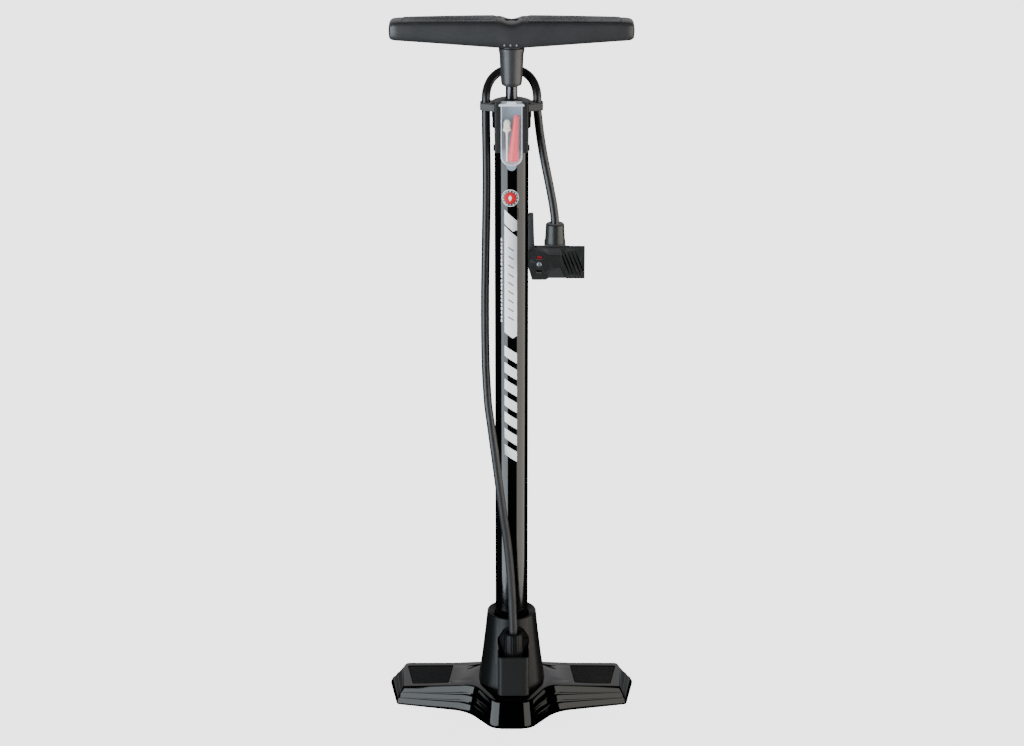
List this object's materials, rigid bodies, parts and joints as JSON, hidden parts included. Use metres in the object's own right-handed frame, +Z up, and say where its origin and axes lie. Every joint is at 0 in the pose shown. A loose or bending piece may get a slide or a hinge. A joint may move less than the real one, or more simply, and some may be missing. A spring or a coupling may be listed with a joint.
{
  "type": "floor bike pump",
  "caption": "Floor bike pump: steel barrel on a winged base, T-handle plunger, hose looped to a lever-lock valve head, and a hinged clear adapter tray.",
  "frame": {"origin": "on the floor, on the barrel's axis", "axes": "+Z up along the barrel; the tray, decals and hose outlet face -Y; the valve head hangs on the +X side"},
  "size_m": [0.2478, 0.1082, 0.7029],
  "materials": {
    "base_gloss": "gloss black moulding with soft grey reflections",
    "pad_rubber": "matt dark grey, finely textured",
    "rubber": "matt black rubber",
    "hose_rubber": "satin black rubber hose",
    "matte_black": "matt black moulding with a fine spark-eroded grain",
    "handle_plastic": "matt charcoal moulding with a fine grain",
    "barrel_gloss": "gloss black lacquer on steel tube with plain red and white decals",
    "rod_steel": "polished, hard-chromed steel rod",
    "steel": "plain zinc-plated steel",
    "brass": "turned brass",
    "red_plastic": "semi-matt pinkish red moulding",
    "cream_plastic": "semi-matt cream moulding",
    "clear_plastic": "clear, faintly blue moulding with frosted rims"
  },
  "bodies": {
    "pump_body": {"base_casting": "base_gloss", "grip_pad_left": "pad_rubber", "grip_pad_right": "pad_rubber", "foot_left": "rubber", "foot_right": "rubber", "foot_front": "rubber", "foot_centre": "rubber", "base_collar": "matte_black", "base_screw_left": "steel", "base_screw_right": "steel", "valve_body": "matte_black", "valve_o_ring": "rubber", "valve_seat": "brass", "check_spring": "steel", "outlet_elbow": "brass", "hose_nut": "matte_black", "barrel": "barrel_gloss", "top_cap": "matte_black", "rod_guide_bush": "matte_black", "stroke_bumper": "rubber", "accessory_bracket": "matte_black", "hose": "hose_rubber", "hose_sleeve": "matte_black", "head_body": "matte_black", "head_cap": "matte_black", "valve_gasket": "rubber", "lever_pin": "steel"},
    "check_valve": {"check_poppet": "red_plastic"},
    "piston": {"piston_head": "matte_black", "piston_cup": "rubber"},
    "plunger": {"rod": "rod_steel", "piston_washer": "steel", "piston_nut": "steel", "handle": "handle_plastic", "handle_grip_left": "pad_rubber", "handle_grip_right": "pad_rubber", "handle_screw": "steel"},
    "tray": {"accessory_tray": "clear_plastic", "ball_needle": "cream_plastic", "inflation_cone": "red_plastic"},
    "lever": {"thumb_lever": "matte_black"},
    "chuck": {"chuck_plunger": "red_plastic"}
  },
  "joints": [
    {"name": "plunger_slide", "type": "slide", "parent": "pump_body", "child": "piston", "axis": [0, 0, 1], "range_m": [0, 0.495]},
    {"name": "plunger_turn", "type": "hinge", "parent": "piston", "child": "plunger", "pos_m": [0, 0, 0.085], "axis": [0, 0, 1], "continuous": true},
    {"name": "check_valve_lift", "type": "slide", "parent": "pump_body", "child": "check_valve", "axis": [0, 0, -1], "range_m": [0, 0.0015], "stiffness_N_per_m": 60, "springref_m": -0.002, "deforming": ["check_spring"]},
    {"name": "tray_hinge", "type": "hinge", "parent": "pump_body", "child": "tray", "pos_m": [0, -0.0268, 0.629], "axis": [-1, 0, 0], "range_deg": [0, 75]},
    {"name": "lever_hinge", "type": "hinge", "parent": "pump_body", "child": "lever", "pos_m": [0.0257, -0.026, 0.4782], "axis": [0, -1, 0], "range_deg": [0, 90]},
    {"name": "chuck_squeeze", "type": "slide", "parent": "pump_body", "child": "chuck", "axis": [1, 0, 0], "range_m": [0, 0.003]}
  ],
  "couplings": [
    {"joint": "chuck_squeeze", "follows": "lever_hinge", "m_per_rad": 0.0019}
  ]
}
